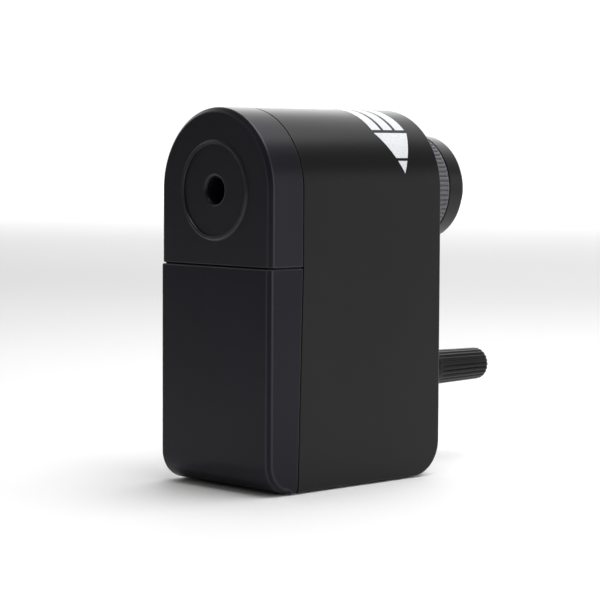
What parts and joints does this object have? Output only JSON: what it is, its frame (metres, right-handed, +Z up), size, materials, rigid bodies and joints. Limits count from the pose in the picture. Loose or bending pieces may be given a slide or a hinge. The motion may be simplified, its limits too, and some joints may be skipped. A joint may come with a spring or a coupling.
{
  "type": "pencil sharpener",
  "caption": "Arched hand-crank desk pencil sharpener with a pull-out shavings drawer, a helical cutter on a geared carrier, and a rear crank with a ribbed grip.",
  "frame": {"origin": "centre of the base pad's underside, on the table and midway along the casing", "axes": "+Z up; -Y is the front, where the pencil goes in; +Y is the crank side; +X is to the right seen from the front"},
  "size_m": [0.052, 0.125, 0.1204],
  "materials": {
    "shell": "satin",
    "drawer_plastic": "satin",
    "crank_plastic": "satin",
    "grip_plastic": "satin",
    "ring_plastic": "satin",
    "frame_plastic": "satin",
    "carrier_plastic": "satin",
    "gear_plastic": "satin",
    "steel": "satin",
    "cutter_steel": "ground",
    "pad": "matte",
    "print_ink": "satin"
  },
  "bodies": {
    "casing": {"casing": "shell", "front_cover": "shell", "pencil_guide": "frame_plastic", "cover_screws": "steel", "inner_frame": "frame_plastic", "frame_screws": "steel", "ring_gear": "gear_plastic", "bearing_housing": "frame_plastic", "base_pad": "pad"},
    "drawer": {"shavings_drawer": "drawer_plastic"},
    "locking_ring": {"lock_ring": "ring_plastic"},
    "crank": {"cutter_carrier": "carrier_plastic", "cutter_pin": "steel", "pin_clip": "steel", "thrust_washer": "steel", "crank_arm": "crank_plastic", "crank_screw": "steel", "hub_cap": "crank_plastic", "grip_spindle": "steel"},
    "cutter": {"helical_cutter": "cutter_steel", "cutter_pinion": "gear_plastic"},
    "grip": {"crank_grip": "grip_plastic"}
  },
  "joints": [
    {"name": "crank_turn", "type": "hinge", "parent": "casing", "child": "crank", "pos_m": [0, 0.05, 0.0944], "axis": [0, 1, 0], "continuous": true},
    {"name": "cutter_spin", "type": "hinge", "parent": "crank", "child": "cutter", "pos_m": [0, 0.0502, 0.0944], "axis": [0, 0.9833, -0.1822], "continuous": true},
    {"name": "grip_spin", "type": "hinge", "parent": "crank", "child": "grip", "pos_m": [0, 0.07, 0.0321], "axis": [0, 1, 0], "continuous": true},
    {"name": "ring_lock", "type": "hinge", "parent": "casing", "child": "locking_ring", "pos_m": [0, 0.045, 0.0944], "axis": [0, 1, 0], "range_deg": [0, 60]},
    {"name": "drawer_slide", "type": "slide", "parent": "casing", "child": "drawer", "axis": [0, -1, 0], "range_m": [0, 0.058]}
  ],
  "couplings": [
    {"joint": "cutter_spin", "follows": "crank_turn", "ratio": -3}
  ]
}
